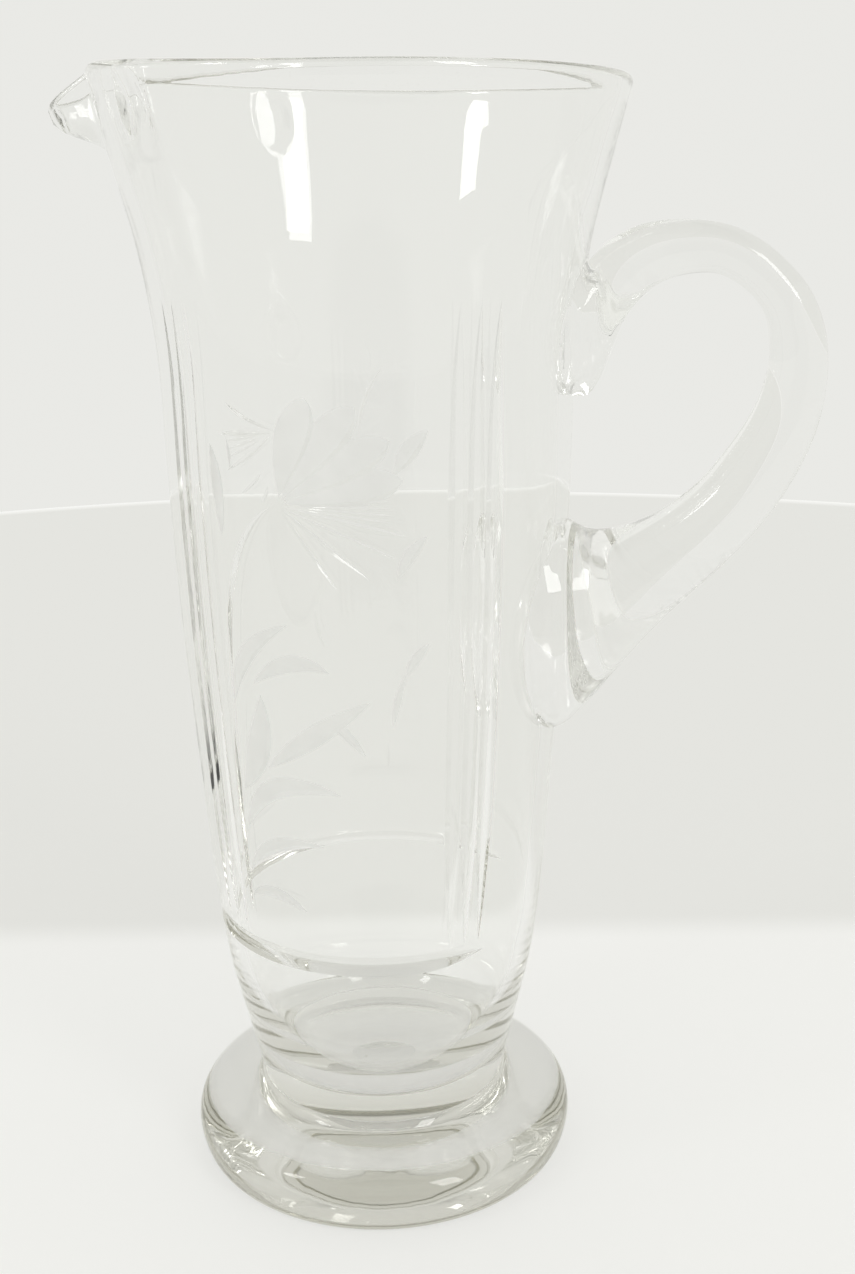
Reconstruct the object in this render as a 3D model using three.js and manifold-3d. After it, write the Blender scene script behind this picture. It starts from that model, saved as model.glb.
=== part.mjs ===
// A tall clear glass pitcher: a blown vessel with a flared rim and a pulled pouring lip, a thick
// applied foot and a solid loop handle.
// Millimetres. +Z is up, the origin is the centre of the base, the handle is on +X, the lip on -X.

import * as THREE from 'three';
import { mergeVertices } from 'three/addons/utils/BufferGeometryUtils.js';
import Module from 'manifold-3d';

const wasm = await Module();
wasm.setup();

// ---------------------------------------------------------------- driving dimensions
const RIM_Z = 300; // height of the rim above the table
const GAP = 0.3; // clearance kept between two pieces
const FRONT = -90; // direction of the front of the pitcher, degrees from the handle
const RIM_SKIN = 1; // a point this close to the outside radius is on the outside

const FOOT_RADIUS = 55.9;
const FOOT_BASE_RADIUS = 54.7; // where the side wall meets the table
const FOOT_WIDEST_Z = 9.1;
const FOOT_SHOULDER_RADIUS = 50.3; // where the rounded edge meets the top
const FOOT_SHOULDER_Z = 16.8;
const FOOT_SEAT_Z = 17; // the vessel stands on this face
const FOOT_SEAT_RADIUS = 35.8;
const FOOT_COLLAR_Z = 20.6; // glass drawn up round the base of the vessel
const FOOT_COLLAR_WALL = 1.2;
const FOOT_EDGE_STEPS = 5;
// Lower edge of the foot, distance in from the base radius and height.
const FOOT_LOWER_EDGE = [
  [1.2, 0],
  [0.2, 0.8],
  [-0.6, 4.2],
];
// Gentle slope of the foot's top, radius and height.
const FOOT_TOP_SLOPE = [
  [43.5, 17.6],
  [39.3, 18.8],
];

// Outside of the vessel, radius and height, from the base to the rim.
const OUTER_PROFILE = [
  [35.3, 20],
  [39.9, 40],
  [44.3, 60],
  [46.8, 80],
  [49.9, 120],
  [52.5, 160],
  [54.1, 200],
  [55.2, 235],
  [58.5, 260],
  [63.3, 280],
  [68.1, 298],
];
// Inside of the vessel, radius and height, from just under the rim to the edge of the floor.
const INNER_PROFILE = [
  [65.4, 298],
  [60.0, 280],
  [54.8, 260],
  [51.3, 235],
  [50.2, 200],
  [48.5, 160],
  [45.8, 120],
  [42.6, 80],
  [39.8, 60],
  [36.4, 48],
  [32.6, 39],
  [28.0, 32],
  [22.0, 27.6],
  [14.0, 25.8],
];
const FLOOR_Z = 26.4; // crown of the domed inside floor
const VESSEL_BASE_Z = FOOT_SEAT_Z + GAP;
// Rounded bottom corner of the vessel, radius and height above its underside.
const BASE_CORNER = [
  [31, 0],
  [34.2, 0.6],
  [35.1, 1.6],
];
// Rounded top of the rim, radius and distance below the rim's height.
const RIM_ROUND = [
  [68.0, 0.9],
  [66.8, 0],
  [65.7, 0.9],
];

const ROUND_SEGMENTS = 128; // facets round the vessel
const PROFILE_SAMPLES = 400;
const INSIDE_ROWS = 14;
const MOUTH_INSIDE_HEIGHTS = [298, 294, 290, 286, 282]; // closer rows where the lip bends
const FOOT_SEGMENTS = 72;

// Pouring lip: the rim is pulled outwards and down over this half angle.
const LIP_REACH = 16.7;
const LIP_DROP = 7.5;
const LIP_HALF_ANGLE = 24; // degrees
const LIP_START_Z = 279;
const LIP_FULL_Z = 297;
const LIP_DROP_START_Z = 283;
const LIP_NARROWING = 2.3; // how pointed the lip is from above
// The rim climbs a little on its way to the lip.
const RIM_CLIMB = 3.6;
const RIM_CLIMB_START_ANGLE = 95; // degrees from the lip
const RIM_CLIMB_FULL_ANGLE = 20;
// A round tool dimple on each side of the lip.
const DIMPLE_ANGLE = 52; // degrees from the lip
const DIMPLE_Z = 293;
const DIMPLE_BALL_RADIUS = 14;
const DIMPLE_BALL_SINK = 5; // the ball's centre lies lower, as the flared wall leans outwards
const DIMPLE_DEPTH = 1.1;

// Long mitre cuts on the front: a group of three on each side of the middle, running down to the ring cut.
const FLUTES_IN_GROUP = 3;
const FLUTE_PITCH = (2 * 360) / ROUND_SEGMENTS; // degrees between two cuts, two facets of the vessel
const FLUTE_GROUP_ANGLE = 7.5 * FLUTE_PITCH; // degrees of a group's middle from the front
const FLUTE_DEPTH = 0.9;
const FLUTE_BOTTOM_Z = 81;
const FLUTE_TOP_Z = 248;

// Ring cut: one groove round the vessel, left out under the handle.
const RING_TOP_Z = 79.2;
const RING_BOTTOM_Z = 73.4;
const RING_DEPTH = 1.1;
const RING_END_ANGLE = 41; // degrees from the handle where the groove runs out
const RING_FULL_ANGLE = 62; // degrees from the handle where it has its full depth

// Heights of the vessel's outside rows, with one at each edge and in the middle of the ring cut.
const OUTER_ROW_HEIGHTS = [
  20, 32, 44, 58, RING_BOTTOM_Z, (RING_TOP_Z + RING_BOTTOM_Z) / 2, RING_TOP_Z, 86, 105, 135, 165, 195, 220,
  236, 248, 258, 267, 275, 281, 285, 288, 291, 294, 298,
];

// Handle: each station is one cross-section. Outer edge x and z, inner edge x and z, half width.
const HANDLE_STATIONS = [
  [46.0, 252.0, 46.0, 223.0, 15.5],
  [53.0, 254.5, 53.0, 222.0, 16.0],
  [58.5, 256.5, 58.5, 222.2, 13.5],
  [62.0, 259.8, 61.8, 226.5, 10.5],
  [66.5, 262.6, 64.3, 233.2, 8.6],
  [71.5, 264.6, 67.9, 241.6, 7.6],
  [77.0, 265.5, 73.2, 248.0, 7.0],
  [83.5, 265.7, 79.8, 251.6, 6.8],
  [90.0, 265.0, 88.3, 252.7, 6.8],
  [97.5, 262.4, 94.0, 250.8, 6.8],
  [105.3, 257.2, 98.8, 247.2, 6.9],
  [112.9, 249.0, 102.2, 242.6, 7.0],
  [117.2, 239.2, 103.6, 236.6, 7.3],
  [118.5, 228.0, 103.6, 229.0, 7.6],
  [116.8, 214.8, 100.9, 219.6, 8.1],
  [111.9, 202.0, 95.5, 210.2, 8.8],
  [104.3, 189.5, 88.2, 200.5, 9.6],
  [95.0, 178.5, 80.5, 193.9, 10.6],
  [84.5, 168.0, 73.0, 189.4, 12.0],
  [75.0, 157.5, 66.5, 187.0, 14.0],
  [66.5, 147.0, 61.0, 186.3, 17.0],
  [60.0, 139.0, 57.0, 187.0, 20.5],
  [55.0, 133.5, 53.0, 189.0, 23.5],
  [50.0, 131.5, 48.5, 190.5, 25.5],
  [44.0, 133.0, 43.0, 190.0, 25.5],
];
const HANDLE_RINGS = 60;
const HANDLE_POINTS = 18;
const HANDLE_SQUARENESS = 2.3; // exponent of the cross-section, 2 is an ellipse
const HANDLE_CUTTER_LOW_Z = 90;
const HANDLE_CUTTER_HIGH_Z = 285;
const HANDLE_CUTTER_HEIGHTS = [90, 120, 135, 150, 165, 180, 200, 220, 230, 240, 250, 257, 265, 275];

// ---------------------------------------------------------------- helpers
const radians = (degrees) => (degrees * Math.PI) / 180;

/** Rises smoothly from 0 at low to 1 at high. */
function ease(value, low, high) {
  const t = THREE.MathUtils.clamp((value - low) / (high - low), 0, 1);
  return t * t * (3 - 2 * t);
}

/** Angle between two directions, in degrees, from 0 to 180. */
function angleBetween(first, second) {
  const turn = Math.abs(first - second) % 360;
  return Math.min(turn, 360 - turn);
}

/** Turns a closed geometry into a manifold solid. */
function toSolid(geometry) {
  const plain = geometry.clone();
  plain.deleteAttribute('normal');
  plain.deleteAttribute('uv');
  const merged = mergeVertices(plain, 1e-4);
  const mesh = new wasm.Mesh({
    numProp: 3,
    vertProperties: new Float32Array(merged.attributes.position.array),
    triVerts: new Uint32Array(merged.index.array),
  });
  return new wasm.Manifold(mesh);
}

/** Turns a manifold solid back into a geometry. */
function toGeometry(solid) {
  const mesh = solid.getMesh();
  const geometry = new THREE.BufferGeometry();
  geometry.setAttribute('position', new THREE.BufferAttribute(new Float32Array(mesh.vertProperties), 3));
  geometry.setIndex(new THREE.BufferAttribute(new Uint32Array(mesh.triVerts), 1));
  geometry.computeVertexNormals();
  return geometry;
}

/** Spins a profile of [radius, height] pairs round +Z. The profile starts and ends on the axis. */
function spin(profile, segments) {
  const points = profile.map(([radius, height]) => new THREE.Vector2(radius, height));
  const geometry = new THREE.LatheGeometry(points, segments, Math.PI / 2);
  geometry.rotateX(Math.PI / 2);
  return geometry;
}

/** Smooth curve through [radius, height] pairs, sampled at even steps. */
function smoothProfile(pairs, count) {
  const curve = new THREE.SplineCurve(pairs.map(([radius, height]) => new THREE.Vector2(radius, height)));
  return curve.getPoints(count).map((point) => [point.x, point.y]);
}

/** Radius at a height of a profile sampled from the bottom up. */
function radiusAt(samples, height) {
  const next = samples.findIndex(([, z]) => z >= height);
  if (next < 1) {
    return height > samples[0][1] ? samples[samples.length - 1][0] : samples[0][0];
  }
  const [lowRadius, lowZ] = samples[next - 1];
  const [highRadius, highZ] = samples[next];
  return THREE.MathUtils.mapLinear(height, lowZ, highZ, lowRadius, highRadius);
}

/** Outside radius of the plain vessel at a height. */
const outerSamples = smoothProfile(OUTER_PROFILE, PROFILE_SAMPLES);
const outerRadius = (height) => radiusAt(outerSamples, height);

/** Inside radius of the plain vessel at a height. */
const innerSamples = smoothProfile(INNER_PROFILE, PROFILE_SAMPLES).reverse();
const innerRadius = (height) => radiusAt(innerSamples, height);

function namedMesh(name, geometry, material) {
  const mesh = new THREE.Mesh(geometry, material);
  mesh.name = name;
  return mesh;
}

// ---------------------------------------------------------------- vessel
/** Outside rows of the vessel. */
function outerRows() {
  return OUTER_ROW_HEIGHTS.map((height) => [outerRadius(height), height]);
}

/** Inside rows of the vessel, from the rim down to the edge of the floor. */
function innerRows() {
  const mouth = MOUTH_INSIDE_HEIGHTS.map((height) => [innerRadius(height), height]);
  const lowest = MOUTH_INSIDE_HEIGHTS[MOUTH_INSIDE_HEIGHTS.length - 1];
  const below = smoothProfile(INNER_PROFILE, INSIDE_ROWS).filter(([, height]) => height < lowest - 1);
  return [...mouth, ...below];
}

/** How much of the full depth a mitre cut has at a height and direction. */
function fluteShare(direction, height) {
  const nearest = Math.abs(angleBetween(direction, FRONT) - FLUTE_GROUP_ANGLE);
  const groupReach = (FLUTES_IN_GROUP / 2) * FLUTE_PITCH;
  if (nearest > groupReach || height < FLUTE_BOTTOM_Z || height > FLUTE_TOP_Z) {
    return 0;
  }
  const steps = nearest / FLUTE_PITCH;
  const valley = 1 - 2 * Math.abs(steps - Math.round(steps));
  const along = Math.sin((Math.PI * (height - FLUTE_BOTTOM_Z)) / (FLUTE_TOP_Z - FLUTE_BOTTOM_Z));
  return Math.max(valley, 0) * Math.sqrt(Math.max(along, 0));
}

/** Depth of the ring cut at a height and direction. */
function ringDepth(direction, height) {
  const middle = (RING_TOP_Z + RING_BOTTOM_Z) / 2;
  const across = 1 - Math.abs(height - middle) / (RING_TOP_Z - middle);
  const along = ease(angleBetween(direction, 0), RING_END_ANGLE, RING_FULL_ANGLE);
  return RING_DEPTH * Math.max(across, 0) * along;
}

/** Moves each vertex of the plain vessel to its place: climbing rim, pouring lip, mitre cuts and ring cut. */
function shapeVessel(geometry) {
  const place = geometry.attributes.position;
  for (let i = 0; i < place.count; i += 1) {
    const x = place.getX(i);
    const y = place.getY(i);
    const z = place.getZ(i);
    const radius = Math.hypot(x, y);
    const direction = THREE.MathUtils.radToDeg(Math.atan2(y, x));
    const fromLip = angleBetween(direction, 180);
    const swell = 0.5 + 0.5 * Math.cos(Math.PI * Math.min(fromLip / LIP_HALF_ANGLE, 1));
    const pull = swell ** LIP_NARROWING;
    let reach = radius + LIP_REACH * pull * ease(z, LIP_START_Z, LIP_FULL_Z);
    const onOutside = radius > outerRadius(z) - RIM_SKIN && z < LIP_FULL_Z;
    if (onOutside) {
      reach -= FLUTE_DEPTH * fluteShare(direction, z) + ringDepth(direction, z);
    }
    const drop = LIP_DROP * pull * ease(z, LIP_DROP_START_Z, LIP_FULL_Z);
    const climb = RIM_CLIMB * ease(z, LIP_DROP_START_Z, RIM_Z);
    const climbShare = ease(-fromLip, -RIM_CLIMB_START_ANGLE, -RIM_CLIMB_FULL_ANGLE);
    const scale = radius > 0 ? reach / radius : 1;
    place.setXYZ(i, x * scale, y * scale, z + climb * climbShare - drop);
  }
  return geometry;
}

/** A ball that leaves a shallow round dimple beside the lip. */
function dimpleBall(side) {
  const angle = radians(180 - side * DIMPLE_ANGLE);
  const reach = outerRadius(DIMPLE_Z) + DIMPLE_BALL_RADIUS - DIMPLE_DEPTH;
  const ball = new THREE.SphereGeometry(DIMPLE_BALL_RADIUS, 40, 28);
  ball.translate(reach * Math.cos(angle), reach * Math.sin(angle), DIMPLE_Z - DIMPLE_BALL_SINK);
  return toSolid(ball);
}

function buildVessel() {
  const corner = BASE_CORNER.map(([radius, rise]) => [radius, VESSEL_BASE_Z + rise]);
  const rim = RIM_ROUND.map(([radius, below]) => [radius, RIM_Z - below]);
  const profile = [[0, VESSEL_BASE_Z], ...corner, ...outerRows(), ...rim, ...innerRows(), [0, FLOOR_Z]];
  const plain = spin(profile, ROUND_SEGMENTS);
  const shaped = toSolid(shapeVessel(plain));
  return toGeometry(shaped.subtract(dimpleBall(1)).subtract(dimpleBall(-1)));
}

// ---------------------------------------------------------------- foot
function buildFoot() {
  const roundedEdge = [];
  for (let i = 0; i <= FOOT_EDGE_STEPS; i += 1) {
    const turn = (i / FOOT_EDGE_STEPS) * (Math.PI / 2);
    const radius = FOOT_SHOULDER_RADIUS + (FOOT_RADIUS - FOOT_SHOULDER_RADIUS) * Math.cos(turn);
    const height = FOOT_WIDEST_Z + (FOOT_SHOULDER_Z - FOOT_WIDEST_Z) * Math.sin(turn);
    roundedEdge.push([radius, height]);
  }
  const profile = [
    [0, 0],
    ...FOOT_LOWER_EDGE.map(([inwards, height]) => [FOOT_BASE_RADIUS - inwards, height]),
    ...roundedEdge,
    ...FOOT_TOP_SLOPE,
    [FOOT_SEAT_RADIUS + FOOT_COLLAR_WALL, FOOT_COLLAR_Z],
    [FOOT_SEAT_RADIUS, FOOT_COLLAR_Z],
    [FOOT_SEAT_RADIUS, FOOT_SEAT_Z],
    [0, FOOT_SEAT_Z],
  ];
  return toGeometry(toSolid(spin(profile, FOOT_SEGMENTS)));
}

// ---------------------------------------------------------------- handle
/** A straight rod of round section, one unit long, bent and swelled through the stations. */
function bendRod() {
  const outerEdge = new THREE.CatmullRomCurve3(
    HANDLE_STATIONS.map(([x, z, , , halfWidth]) => new THREE.Vector3(x, halfWidth, z)),
  );
  const innerEdge = new THREE.CatmullRomCurve3(
    HANDLE_STATIONS.map(([, , x, z]) => new THREE.Vector3(x, 0, z)),
  );
  const section = new THREE.Shape();
  section.absarc(0, 0, 1, 0, 2 * Math.PI);
  const rod = new THREE.ExtrudeGeometry(section, {
    depth: 1,
    steps: HANDLE_RINGS,
    curveSegments: HANDLE_POINTS,
    bevelEnabled: false,
  });
  const squarer = (value) => Math.sign(value) * Math.abs(value) ** (2 / HANDLE_SQUARENESS);
  const place = rod.attributes.position;
  for (let i = 0; i < place.count; i += 1) {
    const along = THREE.MathUtils.clamp(place.getZ(i), 0, 1);
    const outer = outerEdge.getPoint(along);
    const inner = innerEdge.getPoint(along);
    const share = (1 + squarer(place.getX(i))) / 2;
    const x = THREE.MathUtils.lerp(inner.x, outer.x, share);
    const z = THREE.MathUtils.lerp(inner.z, outer.z, share);
    place.setXYZ(i, x, -outer.y * squarer(place.getY(i)), z);
  }
  return rod;
}

/** The plain outside of the vessel, grown by the gap, to trim the handle's two seals to it. */
function vesselCutter() {
  const wall = HANDLE_CUTTER_HEIGHTS.map((height) => [outerRadius(height) + GAP, height]);
  const profile = [
    [0, HANDLE_CUTTER_LOW_Z],
    ...wall,
    [outerRadius(HANDLE_CUTTER_HIGH_Z) + GAP, HANDLE_CUTTER_HIGH_Z],
    [0, HANDLE_CUTTER_HIGH_Z],
  ];
  return toSolid(spin(profile, ROUND_SEGMENTS));
}

function buildHandle() {
  return toGeometry(toSolid(bendRod()).subtract(vesselCutter()));
}

// ---------------------------------------------------------------- assembly
const clearGlass = () => new THREE.MeshStandardMaterial({ color: 0xe9efec, roughness: 0.05, metalness: 0 });

const pitcher = new THREE.Group();
pitcher.name = 'glass_pitcher';
pitcher.add(namedMesh('vessel', buildVessel(), clearGlass()));
pitcher.add(namedMesh('foot', buildFoot(), clearGlass()));
pitcher.add(namedMesh('handle', buildHandle(), clearGlass()));

export default pitcher;
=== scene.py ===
"""Looks of a tall hand-blown glass pitcher: cut body, fused foot and drawn handle.

Every length is in metres and every angle in radians unless its name says degrees. The handle stands
on +X, the pouring lip on -X, and the flat of the foot rests on z = 0.
"""

import logging
import math
from bisect import bisect_right
from collections.abc import Callable
from dataclasses import dataclass, field
from enum import Enum

import bmesh
import bpy
from mathutils import Matrix, Vector


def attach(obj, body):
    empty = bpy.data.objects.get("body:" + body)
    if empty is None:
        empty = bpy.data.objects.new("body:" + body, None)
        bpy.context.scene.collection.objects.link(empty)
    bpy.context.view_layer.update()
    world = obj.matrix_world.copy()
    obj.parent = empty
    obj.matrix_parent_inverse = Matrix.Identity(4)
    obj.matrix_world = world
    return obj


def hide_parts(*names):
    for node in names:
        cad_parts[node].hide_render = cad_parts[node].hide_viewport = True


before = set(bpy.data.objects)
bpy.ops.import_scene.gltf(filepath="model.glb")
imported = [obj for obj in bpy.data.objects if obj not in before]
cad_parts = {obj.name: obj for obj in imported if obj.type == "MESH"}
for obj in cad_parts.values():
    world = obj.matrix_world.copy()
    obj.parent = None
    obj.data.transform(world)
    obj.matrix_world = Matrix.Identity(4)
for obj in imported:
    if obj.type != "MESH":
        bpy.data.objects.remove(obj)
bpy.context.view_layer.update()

log = logging.getLogger("pitcher")

MM = 0.001
FUSED_OVERLAP = 0.05 * MM  # how far two fused pieces of glass run into each other
MERGE_REACH = 0.004 * MM  # points closer than this are one


class Finish(Enum):
    """How a face of the glass was left, and its place among a piece's materials."""

    FIRE_POLISHED = 0
    SATIN_CUT = 1
    BRIGHT_CUT = 2
    GROUND = 3
    FUSED = 4  # hidden face where two hot pieces ran together, which light crosses unbent


def ease(value: float, start: float, end: float) -> float:
    """Rises smoothly from 0 at start to 1 at end.

    Args:
        value: Where to read the curve.
        start: Where it leaves 0.
        end: Where it reaches 1.

    Returns:
        A share from 0 to 1.
    """
    share = min(max((value - start) / (end - start), 0.0), 1.0)
    return share * share * (3 - 2 * share)


@dataclass(frozen=True)
class Profile:
    """A wall's radius against its height, smooth through a few stations (radius, height)."""

    stations: tuple[tuple[float, float], ...]

    def _slope(self, row: int) -> float:
        """Change of radius with height at one station.

        Args:
            row: Number of the station.

        Returns:
            Millimetres of radius for each millimetre of height.
        """
        low = self.stations[max(row - 1, 0)]
        high = self.stations[min(row + 1, len(self.stations) - 1)]
        return (high[0] - low[0]) / (high[1] - low[1])

    def radius(self, height: float) -> float:
        """Radius at a height.

        Args:
            height: Height above the table, in millimetres, as the stations are.

        Returns:
            The radius there, in millimetres.
        """
        heights = [station[1] for station in self.stations]
        row = min(max(bisect_right(heights, height) - 1, 0), len(heights) - 2)
        low, high = self.stations[row], self.stations[row + 1]
        span = high[1] - low[1]
        share = min(max((height - low[1]) / span, 0.0), 1.0)
        square, cube = share**2, share**3
        return (
            (2 * cube - 3 * square + 1) * low[0]
            + (cube - 2 * square + share) * span * self._slope(row)
            + (3 * square - 2 * cube) * high[0]
            + (cube - square) * span * self._slope(row + 1)
        )

    def lean(self, height: float) -> float:
        """Change of radius with height at a height, by a short difference."""
        step = 0.5
        return (self.radius(height + step) - self.radius(height - step)) / (2 * step)


@dataclass(frozen=True)
class Path:
    """A smooth path through stations of any number of values each."""

    stations: tuple[tuple[float, ...], ...]

    def at(self, share: float) -> tuple[float, ...]:
        """The path's values at a share of its length.

        Args:
            share: From 0 at the first station to 1 at the last.

        Returns:
            One value for each value of a station.
        """
        last = len(self.stations) - 1
        place = min(max(share, 0.0), 1.0) * last
        row = min(int(place), last - 1)
        t = place - row
        before = self.stations[max(row - 1, 0)]
        start, end = self.stations[row], self.stations[row + 1]
        after = self.stations[min(row + 2, last)]
        return tuple(
            0.5 * (2 * b + (c - a) * t + (2 * a - 5 * b + 4 * c - d) * t**2 + (3 * b - a - 3 * c + d) * t**3)
            for a, b, c, d in zip(before, start, end, after)
        )


OUTER_WALL = Profile(
    (
        (34.6, 16.0), (35.3, 20.0), (39.9, 40.0), (44.3, 60.0), (46.8, 80.0), (49.9, 120.0), (52.5, 160.0),
        (54.1, 200.0), (55.2, 235.0), (58.5, 260.0), (63.3, 280.0), (68.1, 298.0),
    )
)  # fmt: skip
INNER_WALL = Profile(
    (
        (32.6, 39.0), (36.4, 48.0), (39.8, 60.0), (42.6, 80.0), (45.8, 120.0), (48.5, 160.0), (50.2, 200.0),
        (51.3, 235.0), (54.8, 260.0), (60.0, 280.0), (65.4, 298.0),
    )
)  # fmt: skip


def wall_point(turn: float, height: float, lift: float = 0.0) -> Vector:
    """A point on or near the outer wall, before the lip is pulled.

    Args:
        turn: Angle round the axis from the handle.
        height: Height in millimetres.
        lift: Distance outwards from the wall in millimetres.

    Returns:
        The point, in metres.
    """
    out = Vector((math.cos(turn), math.sin(turn), -OUTER_WALL.lean(height))).normalized()
    radius = OUTER_WALL.radius(height)
    on_wall = Vector((radius * math.cos(turn), radius * math.sin(turn), height))
    return (on_wall + out * lift) * MM


def add_object(name: str, mesh_in: bmesh.types.BMesh) -> bpy.types.Object:
    """Turns a bmesh into a smooth-shaded object at the origin and frees it.

    Args:
        name: The object's name.
        mesh_in: The shape.

    Returns:
        The new object.
    """
    mesh = bpy.data.meshes.new(name)
    mesh_in.to_mesh(mesh)
    mesh_in.free()
    mesh.shade_smooth()
    made = bpy.data.objects.new(name, mesh)
    bpy.context.scene.collection.objects.link(made)
    return made


def turned(outline: list[Vector], steps: int) -> bmesh.types.BMesh:
    """Turns an open outline, both of whose ends lie on the axis, into a closed solid.

    Args:
        outline: Points in the XZ plane, from the underside round to the top.
        steps: Facets round the axis.

    Returns:
        The closed shape, with its faces outwards.
    """
    shape = bmesh.new()
    points = [shape.verts.new(point) for point in outline]
    edges = [shape.edges.new(pair) for pair in zip(points, points[1:])]
    bmesh.ops.spin(
        shape,
        geom=points + edges,
        cent=Vector(),
        axis=Vector((0, 0, 1)),
        angle=math.tau,
        steps=steps,
        use_merge=True,
    )
    bmesh.ops.remove_doubles(shape, verts=shape.verts, dist=MERGE_REACH)
    bmesh.ops.recalc_face_normals(shape, faces=shape.faces)
    return shape


def skin_over(
    rounds: int, lengths: int, place: Callable[[float, float], Vector]
) -> bmesh.types.BMesh:
    """Bends a flat grid into a closed skin.

    Args:
        rounds: Faces round the section.
        lengths: Faces along the piece.
        place: Gives the point at a share round and a share along, both from 0 to 1. It meets itself
            round the section, and at each end it closes to a point or is capped.

    Returns:
        The closed shape, with its faces outwards.
    """
    shape = bmesh.new()
    bmesh.ops.create_grid(shape, x_segments=rounds, y_segments=lengths, size=0.5)
    for point in shape.verts:
        point.co = place(point.co.x + 0.5, point.co.y + 0.5)
    bmesh.ops.remove_doubles(shape, verts=shape.verts, dist=MERGE_REACH)
    rims = [edge for edge in shape.edges if edge.is_boundary]
    if rims:
        bmesh.ops.holes_fill(shape, edges=rims, sides=0)
    bmesh.ops.recalc_face_normals(shape, faces=shape.faces)
    return shape


def carve(piece: bpy.types.Object, tools: list[bpy.types.Object]) -> None:
    """Cuts the tools out of a piece for good and removes them.

    Args:
        piece: The object to cut.
        tools: Closed shapes, none of which runs into itself.
    """
    for tool in tools:
        cut = piece.modifiers.new("cut", "BOOLEAN")
        cut.operation = "DIFFERENCE"
        cut.solver = "MANIFOLD"
        cut.object = tool
    graph = bpy.context.evaluated_depsgraph_get()
    whole = piece.data
    piece.data = bpy.data.meshes.new_from_object(piece.evaluated_get(graph), depsgraph=graph)
    piece.modifiers.clear()
    bpy.data.meshes.remove(whole)
    piece.data.name = piece.name
    for tool in tools:
        bpy.data.objects.remove(tool)


def crisp_cuts(piece: bpy.types.Object, crease_degrees: float) -> None:
    """Keeps the blown skin smooth and every border of a cut sharp.

    Args:
        piece: The cut object.
        crease_degrees: Within a cut, edges that turn more than this are sharp too.
    """
    shape = bmesh.new()
    shape.from_mesh(piece.data)
    crease = math.radians(crease_degrees)
    skin = Finish.FIRE_POLISHED.value
    for face in shape.faces:
        face.smooth = True
    for edge in shape.edges:
        if len(edge.link_faces) != 2:
            continue
        first, second = (face.material_index for face in edge.link_faces)
        in_cut = first != skin and second != skin
        edge.smooth = first == second and not (in_cut and edge.calc_face_angle(0.0) > crease)
    shape.to_mesh(piece.data)
    shape.free()


@dataclass(frozen=True)
class Stroke:
    """One pass of the cutting wheel over the wall, with ends that run out to points.

    start, bow and end are (turn, height) in radians and millimetres; bow is the control point of the
    curve between the other two.
    """

    start: tuple[float, float]
    bow: tuple[float, float]
    end: tuple[float, float]
    width: float
    depth: float
    finish: Finish
    run_out: float = 0.5  # share of the length over which each end fades
    taper: float = 1.0  # 1 gives needle ends, 0.5 gives round ones
    belly: float = 1.0  # above 1 moves the widest place towards the end
    lean: float = 0.0  # -1 to 1, where across the cut the deepest line lies
    hollow: float = 1.0  # 1 is a V, 2 a round hollow
    columns: int = 4
    rows: int = 14
    stand_proud: float = 0.5

    def _centre(self, share: float) -> tuple[float, float]:
        """The cut's centre line at a share of its length, as (turn, height).

        Args:
            share: Share of the way along the cut.

        Returns:
            Turn in radians and height in millimetres.
        """
        rest = 1 - share
        weights = (rest * rest, 2 * rest * share, share * share)
        ends = (self.start, self.bow, self.end)
        return tuple(sum(w * p[k] for w, p in zip(weights, ends)) for k in (0, 1))

    def _fade(self, share: float) -> float:
        """How full the cut is at a share of its length.

        Args:
            share: Share of the way along the cut.

        Returns:
            From 0 where the cut runs out to 1 where it is full.
        """
        skewed = share**self.belly
        near_end = min(skewed, 1 - skewed) / self.run_out
        return math.sin(math.pi / 2 * min(max(near_end, 0.0), 1.0)) ** self.taper

    def _section(self, round_share: float) -> tuple[float, float]:
        """A point of the wheel's section: how far across (-1 to 1) and how far out of the wall.

        Args:
            round_share: Share of the way round the section.

        Returns:
            The two measures, the second in millimetres.
        """
        if round_share > 0.5:
            across = max(3 - 4 * round_share, -1.0)
            return across, self.stand_proud * math.sqrt(1 - across * across)
        across = 4 * round_share - 1
        side = 1 - self.lean if across > self.lean else 1 + self.lean
        reach = min(abs(across - self.lean) / side, 1.0)
        return across, -self.depth * (1 - reach**self.hollow)

    def place(self, round_share: float, share: float) -> Vector:
        """A point of the tool's skin.

        Args:
            round_share: Share of the way round the section.
            share: Share of the way along the cut.

        Returns:
            The point, in metres.
        """
        turn, height = self._centre(share)
        fade = self._fade(share)
        ahead = self._centre(share + 0.01)
        radius = OUTER_WALL.radius(height)
        run = Vector(((ahead[0] - turn) * radius, ahead[1] - height)).normalized()
        across, lift = self._section(round_share)
        offset = across * fade * self.width / 2
        return wall_point(
            turn + run.y * offset / radius,
            height - run.x * offset,
            lift * fade,
        )

    def tool(self) -> bmesh.types.BMesh:
        """The closed shape that this pass takes away.

        Returns:
            A closed shape whose faces carry the number of the finish.
        """
        shape = skin_over(2 * self.columns, self.rows, self.place)
        for face in shape.faces:
            face.material_index = self.finish.value
        return shape


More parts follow.
